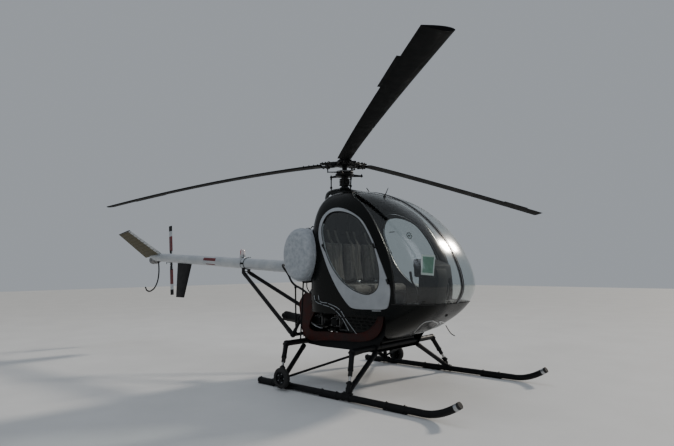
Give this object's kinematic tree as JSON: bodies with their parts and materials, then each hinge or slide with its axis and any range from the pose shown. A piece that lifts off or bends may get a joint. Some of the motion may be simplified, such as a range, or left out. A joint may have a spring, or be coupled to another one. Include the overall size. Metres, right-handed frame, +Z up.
{
  "type": "light helicopter",
  "caption": "Light piston helicopter with a bubble cabin, open engine bay, side tanks, slim tail boom, damped skid gear and a main rotor with drooping blades.",
  "frame": {"origin": "bottom centre of the bounding box, on the ground; the mast axis is at x 0.94 m, y -0.56 m, because the parked blades reach further to one side than to the other", "axes": "+Z up, +X towards the nose, +Y towards the aircraft's left side"},
  "size_m": [7.957, 6.8494, 2.718],
  "materials": {
    "gloss_body_paint": "gloss",
    "white_paint": "satin, a little dirty",
    "black_steel": "satin black paint on steel",
    "cast_alloy": "cast, oily",
    "red_brown_paint": "satin red-brown paint",
    "blade_paint": "matt black",
    "striped_paint": "gloss, red and white bands",
    "tinted_acrylic": "clear, lightly smoked",
    "seat_cloth": "woven",
    "instrument_plastic": "crackle black",
    "red_plastic": "clear red lens on a white base",
    "wheel_tyre": "worn rubber on a painted hub"
  },
  "bodies": {
    "airframe": {"canopy_frame": "gloss_body_paint", "cabin_lower_shell": "gloss_body_paint", "rear_fairing": "gloss_body_paint", "mast_fairing": "gloss_body_paint", "ventral_fin": "gloss_body_paint", "firewall": "black_steel", "cabin_floor": "black_steel", "seat_base": "black_steel", "seat_cushion": "seat_cloth", "seat_back": "seat_cloth", "instrument_console": "instrument_plastic", "cyclic_sticks": "black_steel", "engine": "cast_alloy", "fan_scroll": "red_brown_paint", "belt_drive": "black_steel", "main_gearbox": "cast_alloy", "exhaust_muffler": "black_steel", "centre_frame": "black_steel", "engine_bay_frame": "red_brown_paint", "bay_panel_right": "black_steel", "bay_panel_left": "black_steel", "mast_support": "black_steel", "swashplate": "cast_alloy", "tail_boom": "white_paint", "boom_clamp": "black_steel", "beacon": "red_plastic", "tail_gearbox": "cast_alloy", "stabilizer": "white_paint", "tail_skid": "black_steel", "cross_beam_front": "black_steel", "cross_beam_rear": "black_steel", "windshield_right": "tinted_acrylic", "windshield_left": "tinted_acrylic", "fuel_tank_right": "white_paint", "fuel_tank_left": "white_paint", "tail_strut_right": "black_steel", "tail_strut_left": "black_steel", "skid_right": "black_steel", "skid_left": "black_steel", "leg_front_right": "black_steel", "leg_rear_right": "black_steel", "leg_front_left": "black_steel", "leg_rear_left": "black_steel"},
    "main_rotor": {"rotor_hub": "black_steel", "pitch_links": "black_steel", "main_blade_1": "blade_paint", "main_blade_2": "blade_paint", "main_blade_3": "blade_paint"},
    "tail_rotor": {"tail_rotor": "striped_paint"},
    "right_door": {"door_right": "white_paint", "door_window_right": "tinted_acrylic"},
    "left_door": {"door_left": "white_paint", "door_window_left": "tinted_acrylic"},
    "right_wheel": {"wheel_right": "wheel_tyre"},
    "left_wheel": {"wheel_left": "wheel_tyre"}
  },
  "joints": [
    {"name": "main_rotor_spin", "type": "hinge", "parent": "airframe", "child": "main_rotor", "pos_m": [0.94, -0.56, 2.624], "axis": [0, 0, 1], "continuous": true},
    {"name": "tail_rotor_spin", "type": "hinge", "parent": "airframe", "child": "tail_rotor", "pos_m": [-3.67, -0.21, 1.465], "axis": [0, 1, 0], "continuous": true},
    {"name": "right_door_hinge", "type": "hinge", "parent": "airframe", "child": "right_door", "pos_m": [2.068, -1.186, 1.092], "axis": [-0.42, 0, 0.9075], "range_deg": [0, 80]},
    {"name": "left_door_hinge", "type": "hinge", "parent": "airframe", "child": "left_door", "pos_m": [2.068, 0.066, 1.092], "axis": [0.42, 0, -0.9075], "range_deg": [0, 80]},
    {"name": "right_wheel_spin", "type": "hinge", "parent": "airframe", "child": "right_wheel", "pos_m": [0.946, -1.632, 0.126], "axis": [0, 1, 0], "continuous": true},
    {"name": "left_wheel_spin", "type": "hinge", "parent": "airframe", "child": "left_wheel", "pos_m": [0.946, 0.512, 0.126], "axis": [0, 1, 0], "continuous": true}
  ]
}
